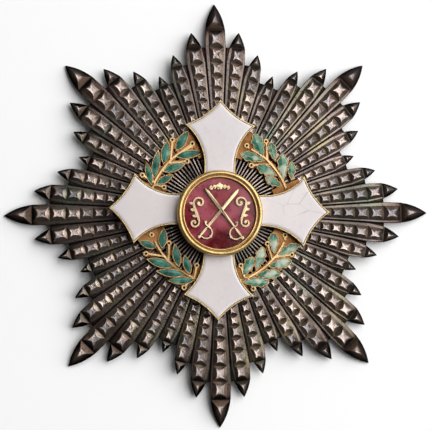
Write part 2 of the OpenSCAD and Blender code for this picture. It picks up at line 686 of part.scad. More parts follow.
module centre_rivet() {
    head_t = rivet_d * 0.23;
    head_d = rivet_d * 1.9;
    top = cross_z + cross_t / 2 - fit_gap;
    under = back_z(head_d / 2) - fit_gap - head_t;
    color(silver) {
        translate([0, 0, under]) cylinder(d = head_d, h = head_t);
        translate([0, 0, under + head_t / 2]) cylinder(d = rivet_d, h = top - under - head_t / 2);
    }
}

// The brackets end just under the hollow back
module brooch_pin() {
    foot_y = pin_l / 2;
    foot_top = back_z(norm([foot_w / 2, foot_y + foot_l / 2])) - 2 * fit_gap;
    color(silver) {
        for (s = [-1, 1])
            translate([-foot_w / 2, s * foot_y - foot_l / 2, pin_clear])
                cube([foot_w, foot_l, foot_top - pin_clear]);
        translate([0, -foot_y, pin_clear + pin_d / 2]) rotate([-90, 0, 0]) cylinder(d = pin_d, h = pin_l);
    }
}

star_body();
wreath_plate();
for (i = [0:len(LAUREL) - 1])
    wreath_enamel(laurel_points(i), laurel_green);
for (i = [0:len(OAK) - 1])
    wreath_enamel(oak_points(i), oak_green);
cross_frame();
enamel_arm(0);  // enamel_arm_top
enamel_arm(-90);  // enamel_arm_right
enamel_arm(180);  // enamel_arm_bottom
enamel_arm(90);  // enamel_arm_left
medallion_rim();
medallion_enamel();
crossed_sabres();
flourish(1);  // flourish_left
flourish(0);  // flourish_right
garland();
centre_rivet();
brooch_pin();
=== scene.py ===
"""A breast star on a pale floor: silver rays, enamelled wreath and cross, red medallion."""
import math

import bmesh
import bpy
from mathutils import Matrix, Vector, noise


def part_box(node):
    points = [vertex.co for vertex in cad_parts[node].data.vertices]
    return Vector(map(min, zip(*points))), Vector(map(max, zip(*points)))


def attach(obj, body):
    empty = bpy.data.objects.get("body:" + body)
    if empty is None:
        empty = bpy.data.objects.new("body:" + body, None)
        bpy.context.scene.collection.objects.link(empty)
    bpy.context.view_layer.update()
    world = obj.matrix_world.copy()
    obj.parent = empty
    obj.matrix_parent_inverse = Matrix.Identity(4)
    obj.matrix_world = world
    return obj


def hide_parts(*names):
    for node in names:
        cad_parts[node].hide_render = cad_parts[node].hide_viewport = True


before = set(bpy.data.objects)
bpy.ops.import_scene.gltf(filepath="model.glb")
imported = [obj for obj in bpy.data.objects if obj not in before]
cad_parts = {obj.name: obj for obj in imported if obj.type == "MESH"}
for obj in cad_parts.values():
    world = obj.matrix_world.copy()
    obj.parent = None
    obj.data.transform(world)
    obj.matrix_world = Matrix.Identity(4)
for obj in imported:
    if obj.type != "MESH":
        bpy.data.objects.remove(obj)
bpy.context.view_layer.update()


# Star body
# One piece of silver, struck in a die and hollow behind, its edges sharpened by a graver.
# It has 48 rays of four lengths. Each is a row of studs with hollow sides, between two flat
# borders, and ends in a lance. The middle is fluted. Old tarnish fills everything but the tops;
# painted shade darkens all but the studs' sides and tops further, and blackens the lances.

MM = 0.001
RAYS = 48
RAY_TURN = math.tau / RAYS
REACH = {"long": 42.5, "second": 36.9, "third": 33.1, "short": 29.9}
FIRST_RING = {"long": 1, "second": 2, "third": 3, "short": 4}
EIGHTH = ("long", "second", "third", "short", "third", "second")
LAST_RING = 9
OUTER_RING = 40.7
RING_STEP = 0.907
DISH_RISE = 3.4
STAR_WALL = 1.1
TIP_WALL = 0.45
EDGE_DROP = 0.12
GROOVE_DEPTH = 0.45
HALF_GROOVE = 0.12
WIDEST_HALF = 2.1
ARCH_LENGTH = 7.7
ARCH_POWER = 2.5
STUD_SLOPE = 0.018
STUD_SIDE_CUTS = 3
# How dark painted shade makes the foot of a lance.
FOOT_SHADE = 0.85
SAME_PLACE = 0.004


def ring_radius(j):
    """Radius of ring j. The rings cross the rays between one stud and the next."""
    return OUTER_RING * RING_STEP ** j


def dish_height(r):
    return DISH_RISE * (1 - min(r / REACH["long"], 1) ** 2)


def half_width(reach, r):
    """Half the width of a ray: its share of the circle, closed to a pointed arch at its end."""
    full = min(r * math.tan(RAY_TURN / 2) - HALF_GROOVE, WIDEST_HALF)
    left = max(reach - r, 0) / ARCH_LENGTH
    return full * (1 - (1 - left) ** ARCH_POWER) if left < 1 else full


def row_places(reach, r):
    """Points across a ray at radius r: its edges, with a left and a right border inside them."""
    w = half_width(reach, r)
    edge_bevel, left_strip, right_strip, strip_drop = 0.06 * w, 0.28 * w, 0.14 * w, 0.02
    z = dish_height(r) + STAR_WALL
    across = [-w, -w + edge_bevel, -w + edge_bevel + left_strip,
              w - edge_bevel - right_strip, w - edge_bevel, w]
    drops = [EDGE_DROP, strip_drop, 0, 0, strip_drop, EDGE_DROP]
    return [Vector((x, r, z - drop)) for x, drop in zip(across, drops)]


def kind(geometry, sort):
    return [g for g in geometry if isinstance(g, sort)]


def grow_strip(bm, edges, places):
    """Extrudes a chain of edges and puts the new vertices, in order of x, at the places."""
    grown = bmesh.ops.extrude_edge_only(bm, edges=edges)["geom"]
    row = sorted(kind(grown, bmesh.types.BMVert), key=lambda v: v.co.x)
    for v, place in zip(row, places):
        v.co = place
    chain = [e for e in kind(grown, bmesh.types.BMEdge) if all(v in row for v in e.verts)]
    return row, chain


def shape_stud(bm, cell, reach, worn):
    """Raises a cell into a stud: a hollow top with four long points, and four hollow sides."""
    ys = [v.co.y for v in cell.verts]
    outer, inner = max(ys), min(ys)
    middle, half_pitch = (outer + inner) / 2, (outer - inner) / 2
    places = row_places(reach, middle)
    centre_x, half_stud = (places[3].x + places[2].x) / 2, (places[3].x - places[2].x) / 2
    top = dish_height(middle) + STAR_WALL + STUD_SLOPE * middle
    point_x, point_y = 0.56 * half_stud, 0.66 * half_pitch
    bow_x, bow_y, hollow = 0.3 * point_x, 0.34 * point_y, 0.05
    rim = 0.1 * half_pitch
    bmesh.ops.inset_individual(bm, faces=[cell], thickness=rim)
    for v in cell.verts:
        u, s = (v.co.x - centre_x) / half_stud, (v.co.y - middle) / half_pitch
        size = max(abs(u), abs(s))
        u, s = u / size, s / size
        v.co = (centre_x + u * point_x - u * bow_x * (1 - s * s),
                middle + s * point_y - s * bow_y * (1 - u * u), top)
    peak = bmesh.ops.poke(bm, faces=[cell])["verts"][0]
    peak.co.z -= hollow
    for v in [peak] + [e.other_vert(peak) for e in peak.link_edges]:
        v[worn] = 1


def shape_lance(bm, lance, reach, r_first, worn, tarnish_and_shade):
    """Raises a ray's end: a thin border and long sides, black with painted shade, up to a small
    hollow top.
    """
    border, top_share_x, top_share_y, bow = 0.2, 0.32, 0.3, 0.25
    top_x, top_at, full_length, below_studs, hollow = 0.05, 0.38, 4, 0.1, 0.03
    length = reach - r_first
    middle = r_first + top_at * length
    rise = STUD_SLOPE * middle * min(1, length / full_length)
    top = dish_height(middle) + STAR_WALL + rise - below_studs
    # Painted shade: the two insets make the border black and the foot nearly black.
    for black in (1, 0.9):
        bmesh.ops.inset_individual(bm, faces=[lance], thickness=border)
        for v in lance.verts:
            v[tarnish_and_shade] = black if v.co.y > r_first + 2 * border else FOOT_SHADE
    widest = max(abs(v.co.x) for v in lance.verts)
    foot = min(v.co.y for v in lance.verts)
    for v in lance.verts:
        x = v.co.x
        lift = bow * (1 - (x / widest) ** 2) if v.co.y < foot + 0.01 else 0
        v.co = (top_x + (x - top_x) * top_share_x,
                middle + (v.co.y - middle) * top_share_y + lift, top)
    peak = bmesh.ops.poke(bm, faces=[lance])["verts"][0]
    peak.co.z -= hollow
    # Painted shade darkens the top towards its rim, so only a small spot at the worn peak stays
    # bright.
    for v in [peak] + [e.other_vert(peak) for e in peak.link_edges]:
        v[worn], v[tarnish_and_shade] = 0.95, 0.7
    peak[tarnish_and_shade] = 0


def ray_mesh(k):
    """Front and back of ray k of an eighth, along +Y, with half of the groove on each side."""
    reach, first = REACH[EIGHTH[k]], FIRST_RING[EIGHTH[k]]
    r_first = ring_radius(first)
    bm = bmesh.new()
    worn = bm.verts.layers.float.new("worn")
    tarnish_and_shade = bm.verts.layers.float.new("tarnish_and_shade")
    row = [bm.verts.new(place) for place in row_places(reach, r_first)]
    rows, chain = [row], [bm.edges.new(pair) for pair in zip(row, row[1:])]
    for j in range(first + 1, LAST_RING + 1):
        row, chain = grow_strip(bm, chain, row_places(reach, ring_radius(j)))
        rows.append(row)
    stud_edges = [bm.edges.get((row[2], row[3])) for row in rows]
    for side, column, neighbour in ((-1, 0, k - 1), (1, -1, k + 1)):
        opens = max(first, FIRST_RING[EIGHTH[neighbour % len(EIGHTH)]])
        rim = [row[column] for row in rows[opens - first:]]
        rim_edges = [bm.edges.get(pair) for pair in zip(rim, rim[1:])]
        grown = bmesh.ops.extrude_edge_only(bm, edges=rim_edges)
        for v in kind(grown["geom"], bmesh.types.BMVert):
            r = v.co.y / math.cos(RAY_TURN / 2)
            v.co = (side * v.co.y * math.tan(RAY_TURN / 2), v.co.y,
                    dish_height(r) + STAR_WALL - GROOVE_DEPTH)
            v[tarnish_and_shade] = 1
        for row in rows[:opens - first]:
            for inwards, black in enumerate((1, 0.95, 0.6)):
                row[column - inwards * side][tarnish_and_shade] = black
    along = [e for e in bm.edges if abs(e.verts[0].co.y - e.verts[1].co.y) > 0.5]
    bmesh.ops.bisect_edges(bm, edges=along + stud_edges, cuts=STUD_SIDE_CUTS)

    middle_share, edge_thinning = 0.3, 0.8
    near_middle = middle_share * half_width(reach, r_first)
    cells = [f for f in bm.faces if abs(f.calc_center_median().x) < near_middle]
    steps = [r_first + (reach - r_first) * share for share in (0.2, 0.4, 0.58, 0.74, 0.87, 0.95)]
    thin = [(STAR_WALL - TIP_WALL) * (r - r_first) / (reach - r_first) for r in steps]
    edge_z = [dish_height(r) + STAR_WALL - EDGE_DROP - edge_thinning * t
              for r, t in zip(steps, thin)]
    foot = sorted((v for v in bm.verts if abs(v.co.y - r_first) < 0.001), key=lambda v: v.co.x)
    foot = [v for v in foot if abs(v.co.x) < half_width(reach, r_first) + 0.001]
    right = [bm.verts.new((half_width(reach, r), r, z)) for r, z in zip(steps, edge_z)]
    left = [bm.verts.new((-half_width(reach, r), r, z)) for r, z in zip(steps, edge_z)]
    tip = bm.verts.new((0, reach, dish_height(reach) + TIP_WALL))
    lance = bm.faces.new(foot + right + [tip] + left[::-1])
    # Painted shade: the lance's outline is made black and its foot nearly black.
    for v in right + left + [tip]:
        v[tarnish_and_shade] = 1
    for v in foot:
        v[tarnish_and_shade] = max(v[tarnish_and_shade], FOOT_SHADE)

    back = bmesh.ops.duplicate(bm, geom=bm.verts[:] + bm.edges[:] + bm.faces[:])["geom"]
    for v in kind(back, bmesh.types.BMVert):
        v.co.z = dish_height(math.hypot(v.co.x, v.co.y))
        v[tarnish_and_shade] = 0
    for cell in cells:
        shape_stud(bm, cell, reach, worn)
    shape_lance(bm, lance, reach, r_first, worn, tarnish_and_shade)
    mesh = bpy.data.meshes.new("ray")
    bm.to_mesh(mesh)
    bm.free()
    return mesh


def open_loop(bm, front, outside):
    """The open edges of the front or the back, round the outside or round the middle."""
    above_back, between = 0.2, 20

    def wanted(e):
        p = (e.verts[0].co + e.verts[1].co) / 2
        r = math.hypot(p.x, p.y)
        return (p.z - dish_height(r) > above_back) == front and (r > between) == outside
    return [e for e in bm.edges if len(e.link_faces) == 1 and wanted(e)]


def grow_inward(bm, loop, r, height):
    """Extrudes a closed loop of edges to a circle of radius r, each vertex at its own height."""
    grown = bmesh.ops.extrude_edge_only(bm, edges=loop)["geom"]
    ring = kind(grown, bmesh.types.BMVert)
    for v in ring:
        turn = math.atan2(v.co.y, v.co.x)
        v.co = (r * math.cos(turn), r * math.sin(turn), height(v))
    inside = set(ring)
    return [e for e in kind(grown, bmesh.types.BMEdge) if set(e.verts) <= inside]


def star_bmesh():
    bm = bmesh.new()
    rays = [ray_mesh(k) for k in range(len(EIGHTH))]
    for k in range(RAYS):
        before = len(bm.verts)
        bm.from_mesh(rays[k % len(EIGHTH)])
        bm.verts.ensure_lookup_table()
        bmesh.ops.rotate(bm, verts=bm.verts[before:], matrix=Matrix.Rotation(-k * RAY_TURN, 3, "Z"))
    bmesh.ops.remove_doubles(bm, verts=bm.verts, dist=SAME_PLACE)

    # Walls round the outline: the front's edge goes straight down to the back's
    wall = bmesh.ops.extrude_edge_only(bm, edges=open_loop(bm, True, True))["geom"]
    for v in kind(wall, bmesh.types.BMVert):
        v.co.z = dish_height(math.hypot(v.co.x, v.co.y))
    bmesh.ops.remove_doubles(bm, verts=bm.verts, dist=SAME_PLACE)

    # Flutes in the middle: ridges and furrows by turns, then the flat seat and the rivet's hole
    flutes, flute_steps, flute_outer, flute_inner, flute_depth = 96, 4, 14.5, 7.7, 0.34
    seat_r, hole_r, back_r = 7.1, 1.6, 9
    seat_z = DISH_RISE + STAR_WALL
    last_z = dish_height(ring_radius(LAST_RING)) + STAR_WALL
    turn = Matrix.Rotation(RAY_TURN / 2, 4, "Z")
    worn = bm.verts.layers.float["worn"]
    tarnish_and_shade = bm.verts.layers.float["tarnish_and_shade"]
    outer = bmesh.ops.create_circle(
        bm, segments=flute_steps * flutes, radius=flute_outer, matrix=turn)["verts"]
    for i, v in enumerate(outer):
        rib = i % flute_steps < flute_steps / 2
        v.co.z = last_z + (flute_depth if rib else -flute_depth) / 2
        v[worn], v[tarnish_and_shade] = (0.9, 0) if rib else (0, 1)
    rim = [e for e in bm.edges if not e.link_faces]
    bmesh.ops.bridge_loops(bm, edges=open_loop(bm, True, False) + rim)
    inner = grow_inward(
        bm, rim, flute_inner,
        lambda v: seat_z - flute_depth / 2 + (v.co.z - last_z))
    seat = grow_inward(bm, inner, seat_r, lambda v: seat_z)
    hole = grow_inward(bm, seat, hole_r, lambda v: seat_z)
    back = open_loop(bm, False, False)
    for r in (back_r, hole_r):
        back = grow_inward(bm, back, r, lambda v, r=r: dish_height(r))
    bmesh.ops.bridge_loops(bm, edges=hole + back)

    # Wear and the graver leave no two studs alike. The seed makes them the same at every run.
    on_top, wear_grain, wear_depth, wear_seed = 0.85, 0.37, 0.09, 1
    noise.seed_set(wear_seed)
    for v in bm.verts:
        if v[worn] > on_top:
            v.co += noise.noise_vector(v.co * wear_grain) * wear_depth
    return bm


def add_piece(name, bm, material, slot, *nodes, unit=1, sharp=25):
    """Makes a finished piece: unit to metres, normals out, sharp edges kept, riding on root."""
    bmesh.ops.scale(bm, vec=(unit, unit, unit), verts=bm.verts)
    bmesh.ops.recalc_face_normals(bm, faces=bm.faces)
    mesh = bpy.data.meshes.new(name)
    bm.to_mesh(mesh)
    bm.free()
    mesh.polygons.foreach_set("use_smooth", [True] * len(mesh.polygons))
    mesh.set_sharp_from_angle(angle=math.radians(sharp))
    mesh.materials.append(material)
    piece = bpy.data.objects.new(name, mesh)
    bpy.context.scene.collection.objects.link(piece)
    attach(piece, "root")
    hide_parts(*nodes)


def rgb(red, green, blue):
    """A colour as seen on a screen, 0 to 255, as Blender's linear values."""
    return tuple((c / 255) ** 2.2 for c in (red, green, blue)) + (1,)


def old_surface_group():
    """Uneven patches, fine specks and a faint bump that all the old metal and enamel share."""
    tree = bpy.data.node_groups.new("old_surface", "ShaderNodeTree")
    for name, start in (("Patch Scale", 150), ("Speck Scale", 2500), ("Relief", 0.00002)):
        socket = tree.interface.new_socket(name, in_out="INPUT", socket_type="NodeSocketFloat")
        socket.default_value = start
    for name, sort in (("Patches", "Float"), ("Specks", "Float"), ("Normal", "Vector")):
        tree.interface.new_socket(name, in_out="OUTPUT", socket_type="NodeSocket" + sort)
    taken, given = tree.nodes.new("NodeGroupInput"), tree.nodes.new("NodeGroupOutput")
    place = tree.nodes.new("ShaderNodeTexCoord")
    for scale, result, detail in (("Patch Scale", "Patches", 4), ("Speck Scale", "Specks", 6)):
        pattern = tree.nodes.new("ShaderNodeTexNoise")
        pattern.inputs["Detail"].default_value = detail
        spread = tree.nodes.new("ShaderNodeMapRange")
        spread.inputs["From Min"].default_value = 0.35
        spread.inputs["From Max"].default_value = 0.65
        tree.links.new(place.outputs["Object"], pattern.inputs["Vector"])
        tree.links.new(taken.outputs[scale], pattern.inputs["Scale"])
        tree.links.new(pattern.outputs["Fac"], spread.inputs["Value"])
        tree.links.new(spread.outputs["Result"], given.inputs[result])
    bump = tree.nodes.new("ShaderNodeBump")
    tree.links.new(spread.outputs["Result"], bump.inputs["Height"])
    tree.links.new(taken.outputs["Relief"], bump.inputs["Distance"])
    tree.links.new(bump.outputs["Normal"], given.inputs["Normal"])
    return tree


OLD_SURFACE = old_surface_group()


class Finish:
    """A material under way: its shader, its old surface, and short ways to add nodes."""

    def __init__(self, name, patch_scale, speck_scale, relief, **constants):
        self.material = bpy.data.materials.new(name)
        self.material.use_nodes = True
        self.tree = self.material.node_tree
        self.shader = self.tree.nodes["Principled BSDF"]
        for socket, value in constants.items():
            self.shader.inputs[socket.replace("_", " ")].default_value = value
        self.old = self.tree.nodes.new("ShaderNodeGroup")
        self.old.node_tree = OLD_SURFACE
        sizes = {"Patch Scale": patch_scale, "Speck Scale": speck_scale, "Relief": relief}
        for socket, value in sizes.items():
            self.old.inputs[socket].default_value = value
        self.tree.links.new(self.old.outputs["Normal"], self.shader.inputs["Normal"])

    def attribute(self, name):
        node = self.tree.nodes.new("ShaderNodeAttribute")
        node.attribute_name = name
        return node.outputs["Fac"]

    def put(self, value, socket):
        """Links an output to a socket, or sets a plain value on it."""
        if isinstance(value, bpy.types.NodeSocket):
            self.tree.links.new(value, socket)
        else:
            socket.default_value = value

    def blend(self, share, first, second):
        """A mix of two colours."""
        node = self.tree.nodes.new("ShaderNodeMix")
        node.data_type = "RGBA"
        self.put(share, node.inputs["Factor"])
        self.put(first, node.inputs["A"])
        self.put(second, node.inputs["B"])
        return node.outputs["Result"]

    def ramp(self, value, low, high, to_low=0.0, to_high=1.0):
        """A value's stretch from low to high, spread over another range."""
        node = self.tree.nodes.new("ShaderNodeMapRange")
        self.put(value, node.inputs["Value"])
        limits = {"From Min": low, "From Max": high, "To Min": to_low, "To Max": to_high}
        for socket, limit in limits.items():
            node.inputs[socket].default_value = limit
        return node.outputs["Result"]

    def clouds(self, scale, low, high, offset=0.0):
        """Soft patches of another size, from 0 to 1."""
        place = self.tree.nodes.new("ShaderNodeTexCoord")
        moved = self.tree.nodes.new("ShaderNodeMapping")
        moved.inputs["Location"].default_value = (offset, offset, offset)
        pattern = self.tree.nodes.new("ShaderNodeTexNoise")
        pattern.inputs["Scale"].default_value = scale
        self.tree.links.new(place.outputs["Object"], moved.inputs["Vector"])
        self.tree.links.new(moved.outputs["Vector"], pattern.inputs["Vector"])
        return self.ramp(pattern.outputs["Fac"], low, high)

    def cracks(self, scale, width):
        """Hair-thin lines that meet like cracks in glass, 1 on a line."""
        place = self.tree.nodes.new("ShaderNodeTexCoord")
        cells = self.tree.nodes.new("ShaderNodeTexVoronoi")
        cells.feature = "DISTANCE_TO_EDGE"
        cells.inputs["Scale"].default_value = scale
        self.tree.links.new(place.outputs["Object"], cells.inputs["Vector"])
        return self.ramp(cells.outputs["Distance"], 0, width, 1, 0)

    def reach(self):
        """Distance from the middle of the star, in metres."""
        place = self.tree.nodes.new("ShaderNodeTexCoord")
        length = self.tree.nodes.new("ShaderNodeVectorMath")
        length.operation = "LENGTH"
        self.tree.links.new(place.outputs["Object"], length.inputs[0])
        return length.outputs["Value"]

    def colour(self, value):
        self.put(value, self.shader.inputs["Base Color"])

    def roughness(self, value):
        self.put(value, self.shader.inputs["Roughness"])


def tarnished_shaded_silver():
    """Bright where it is handled, brown and black in the hollows, with green and straw tints;
    painted shade darkens the flat strips and blackens the lances.
    """
    silver = Finish("tarnished_shaded_silver", 120, 2600, 0.00001, Metallic=0.9, Specular_IOR_Level=0.1)
    bright = silver.blend(silver.clouds(180, 0.4, 0.6, 3), rgb(188, 170, 161), rgb(124, 118, 119))
    # Everything but the studs' sides and tops, the flat strips above all, takes a darker copy of
    # the tarnish than the sides: painted shade.
    strip = silver.blend(silver.old.outputs["Patches"], rgb(122, 110, 106), rgb(80, 72, 68))
    side = silver.blend(silver.old.outputs["Patches"], rgb(160, 143, 130), rgb(104, 91, 80))
    wear = silver.attribute("worn")
    metal = silver.blend(silver.ramp(wear, 0, 0.2), strip, side)
    metal = silver.blend(silver.clouds(110, 0.52, 0.75, 2), metal, rgb(106, 110, 98))
    metal = silver.blend(silver.clouds(130, 0.56, 0.78, 16), metal, rgb(136, 126, 104))
    metal = silver.blend(silver.ramp(silver.reach(), 0.03, 0.04, 0, 0.8), metal, rgb(80, 54, 40))
    metal = silver.blend(silver.ramp(wear, 0.75, 1), metal, bright)
    specks = silver.ramp(silver.old.outputs["Specks"], 0.75, 1.1)
    metal = silver.blend(specks, metal, rgb(50, 42, 36))
    # Black where the mask is high: tarnish in the grooves and furrows, dark free edges, and painted
    # shade on the lances.
    tarnish_and_shade = silver.ramp(silver.attribute("tarnish_and_shade"), 0.5, 0.95)
    silver.colour(silver.blend(tarnish_and_shade, metal, rgb(14, 11, 10)))
    silver.roughness(silver.ramp(silver.old.outputs["Patches"], 0, 1, 0.24, 0.36))
    return silver.material


add_piece(
    "silver_star", star_bmesh(), tarnished_shaded_silver(), "silver", "star_body", unit=MM, sharp=24)


# Wreath
# A pierced plate of gilt silver, engraved and laid over the flutes, with raised stems, berries and
# cell walls. The cells hold green enamel: laurel leaves on the left, oak leaves on the right.

def cad_copy(node):
    """A node's own shape as one clean mesh, its triangles merged and its flat faces whole."""
    same_place, flat = 2e-6, math.radians(0.6)
    bm = bmesh.new()
    bm.from_mesh(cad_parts[node].data)
    bmesh.ops.remove_doubles(bm, verts=bm.verts, dist=same_place)
    bmesh.ops.dissolve_limit(bm, angle_limit=flat, verts=bm.verts, edges=bm.edges)
    return bm


def soften(bm, width, low):
    """Rounds the sharp edges above a height, in metres, and marks the top of the piece as worn."""
    worn = bm.verts.layers.float.new("worn")
    top = max(v.co.z for v in bm.verts)
    sharp_turn = 0.8

    def sharp(e):
        on_top = all(v.co.z > low for v in e.verts)
        walled = len(e.link_faces) == 2 and e.is_convex
        return on_top and walled and e.calc_face_angle(0) > sharp_turn
    bmesh.ops.bevel(
        bm, geom=[e for e in bm.edges if sharp(e)], offset=width, offset_type="OFFSET",
        affect="EDGES", segments=2, profile=0.5, material=-1, clamp_overlap=True)
    for v in bm.verts:
        v[worn] = max(0, 1 - (top - v.co.z) / width)
    return bm


def worn_and_shaded_gilding(name, rubbed, light, dark, roughness, relief=0.00002):
    """Gilding that has gone uneven: pale where it is rubbed, coppery and brown elsewhere; the dark
    colours given there to the cross and the figures are painted shade.
    """
    gilt = Finish(name, 260, 3200, relief, Metallic=1.0)
    tone = gilt.blend(gilt.old.outputs["Patches"], light, dark)
    tone = gilt.blend(gilt.ramp(gilt.old.outputs["Specks"], 0.7, 1.3), tone, rgb(70, 44, 26))
    gilt.colour(gilt.blend(gilt.attribute("worn"), tone, rubbed))
    gilt.roughness(roughness)
    return gilt.material


wreath_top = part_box("wreath_plate")[1].z
old_gilt = worn_and_shaded_gilding(
    "old_gilt", rgb(184, 154, 110), rgb(146, 104, 66), rgb(84, 54, 32), 0.36, 0.00001)
add_piece(
    "pierced_wreath", soften(cad_copy("wreath_plate"), 0.00005, wreath_top - 0.00005),
    old_gilt, "wreath_gilt", "wreath_plate", sharp=20)


def domed_leaf(node):
    """A leaf's enamel, fused a little higher in its middle than at its walls, with a vein."""
    slope_width, edge_drop, vein_side, vein_depth, near = 0.00015, 0.00006, 0.00014, 0.00003, 1e-6
    bm = cad_copy(node)
    top_z = max(v.co.z for v in bm.verts)
    top = max(bm.faces, key=lambda f: f.normal.z * f.calc_area())
    # The edge layer marks the enamel next to the walls, where the material paints shade.
    edge = bm.verts.layers.float.new("edge")
    vein = bm.verts.layers.float.new("vein")
    for v in bm.verts:
        v[edge] = 1
    bmesh.ops.inset_region(bm, faces=[top], thickness=slope_width)
    for v in bm.verts:
        outer = any(f is not top and abs(f.normal.z) < 0.5 for f in v.link_faces)
        if v.co.z > top_z - near and outer:
            v.co.z -= edge_drop
        elif v.co.z > top_z - near:
            v[edge] = 0
    ends = ((a.co, b.co) for a in top.verts for b in top.verts)
    foot, end = max(ends, key=lambda pair: (pair[0] - pair[1]).length)
    across = Vector((0, 0, 1)).cross(end - foot).normalized()
    middle = (foot + end) / 2
    for offset in (-vein_side, vein_side, 0):
        inner = [f for f in bm.faces if min(v.co.z for v in f.verts) > top_z - near]
        bounds = {e for f in inner for e in f.edges} | {v for f in inner for v in f.verts}
        cut = bmesh.ops.bisect_plane(
            bm, geom=inner + list(bounds), dist=1e-7,
            plane_co=middle + across * offset, plane_no=across)["geom_cut"]
    for v in kind(cut, bmesh.types.BMVert):
        v[vein] = 1
        v.co.z -= vein_depth
    return bm


def leaf_enamel(name, deep, fresh, chalky, vein, chalk_low, chalk_high):
    """Green glass over gilding, darker at the walls with painted shade, with a vein and chalky worn
    patches.
    """
    enamel = Finish(name, 700, 2400, 0.00001, Specular_IOR_Level=0.25)
    tone = enamel.blend(enamel.old.outputs["Patches"], deep, fresh)
    tone = enamel.blend(enamel.clouds(420, chalk_low, chalk_high, 5), tone, chalky)
    tone = enamel.blend(enamel.ramp(enamel.attribute("vein"), 0.2, 0.9, 0, 0.6), tone, vein)
    # Painted shade: the enamel darkens towards the gold walls.
    walls = enamel.ramp(enamel.attribute("edge"), 0.3, 1, 0, 0.6)
    enamel.colour(enamel.blend(walls, tone, deep))
    enamel.roughness(enamel.ramp(enamel.old.outputs["Specks"], 0, 1, 0.2, 0.4))
    return enamel.material


LEAVES = 14
laurel_green = leaf_enamel(
    "laurel_green", rgb(30, 78, 66), rgb(78, 140, 122), rgb(130, 168, 150), rgb(24, 58, 48),
    0.6, 0.75)
oak_green = leaf_enamel(
    "oak_green", rgb(36, 96, 78), rgb(100, 154, 130), rgb(180, 190, 170), rgb(186, 182, 146),
    0.52, 0.64)
for tree, green in (("laurel", laurel_green), ("oak", oak_green)):
    for i in range(1, LEAVES + 1):
        node = f"{tree}_leaf_{i}"
        add_piece(f"{node}_glaze", domed_leaf(node), green, f"{tree}_enamel", node, sharp=50)


# Cross
# A gold cross with raised edges. Its four fields hold opaque white enamel, fired a little proud
# of the gold and ground to a flat middle with a soft slope round it.

cross_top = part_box("cross_frame")[1].z
# Below the rubbed tops the cross's rounded edges and walls are dark brown: painted shade.
cross_gold = worn_and_shaded_gilding(
    "cross_gold", rgb(176, 152, 108), rgb(98, 76, 44), rgb(56, 40, 22), 0.34)
add_piece(
    "gold_cross", soften(cad_copy("cross_frame"), 0.00006, cross_top - 0.00002),
    cross_gold, "gold", "cross_frame")


def ground_field(node):
    """The white enamel of one arm: its top slopes from the gold edge up to a flat middle."""
    slope_width, slope_drop, rounding, near = 0.00045, 0.00013, 0.0002, 1e-6
    bm = cad_copy(node)
    top_z = max(v.co.z for v in bm.verts)
    top = max(bm.faces, key=lambda f: f.normal.z * f.calc_area())
    bmesh.ops.inset_region(bm, faces=[top], thickness=slope_width, use_even_offset=True)
    plateau = list(top.edges)
    middle = set(top.verts)
    for v in bm.verts:
        if v.co.z > top_z - near and v not in middle:
            v.co.z -= slope_drop
    bmesh.ops.bevel(
        bm, geom=plateau, offset=rounding, offset_type="OFFSET", affect="EDGES", segments=3,
        profile=0.5, material=-1, clamp_overlap=True)
    return bm


def white_enamel():
    """Off-white glass with a faint rose tint, cloudy, with hair cracks by the medallion."""
    white = Finish("white_enamel", 90, 900, 0.000004)
    tone = white.blend(white.old.outputs["Patches"], rgb(221, 212, 211), rgb(213, 205, 205))
    tone = white.blend(white.ramp(white.old.outputs["Specks"], 0.9, 1.5), tone, rgb(188, 176, 172))
    hairs = white.blend(white.clouds(70, 0.5, 0.6, 4), rgb(0, 0, 0), white.cracks(130, 0.006))
    white.colour(white.blend(hairs, tone, rgb(172, 160, 154)))
    white.roughness(0.14)
    return white.material


ground_white = white_enamel()
for side in ("top", "right", "bottom", "left"):
    add_piece(f"white_field_{side}", ground_field(f"enamel_arm_{side}"), ground_white,
              "white_enamel", f"enamel_arm_{side}", sharp=60)


# Medallion
# A gold cup, turned with a broad round moulding, a groove and a thin bead, and set on the cross.
# It holds red enamel over engine-turned gold, on which cut-out gold figures stand.

MEDALLION_AT = Vector((-0.25, -0.5, 0))
CUP_STEPS = 96


def arc_points(centre, radius, start, end, steps):
    turns = [math.radians(start + (end - start) * i / steps) for i in range(steps + 1)]
    return [(centre[0] + radius * math.cos(a), centre[1] + radius * math.sin(a)) for a in turns]


def turned_piece(profile):
    """Spins a profile of radius and height, from the axis back to the axis, about the medallion."""
    bm = bmesh.new()
    chain = [bm.verts.new(MEDALLION_AT + Vector((r, 0, z))) for r, z in profile]
    line = [bm.edges.new(pair) for pair in zip(chain, chain[1:])]
    bmesh.ops.spin(
        bm, geom=chain + line, cent=MEDALLION_AT, axis=(0, 0, 1), angle=math.tau,
        steps=CUP_STEPS, use_merge=True)
    bmesh.ops.remove_doubles(bm, verts=bm.verts, dist=0.001)
    return bm


cup_low, cup_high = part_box("medallion_rim")
cup_foot, cup_top = cup_low.z / MM, cup_high.z / MM
cup_r, bore_r, cup_floor = 8.5, 7.0, cup_foot + 0.6
moulding_at, moulding_r = (7.98, cup_top - 0.5), 0.5
bead_at, bead_r = (7.25, cup_top - 0.32), 0.2
cup_profile = (
    [(0, cup_foot), (cup_r, cup_foot), (cup_r, cup_top - 0.65)]
    + arc_points(moulding_at, moulding_r, -18, 155, 12)
    + arc_points(bead_at, bead_r, 30, 180, 8)
    + [(bore_r, cup_top - 0.45), (bore_r, cup_floor), (0, cup_floor)])
cup_gold = worn_and_shaded_gilding(
    "cup_gold", rgb(220, 190, 136), rgb(212, 180, 126), rgb(184, 152, 100), 0.38, 0.000006)
add_piece(
    "medallion_cup", turned_piece(cup_profile), cup_gold, "gold", "medallion_rim",
    unit=MM, sharp=40)

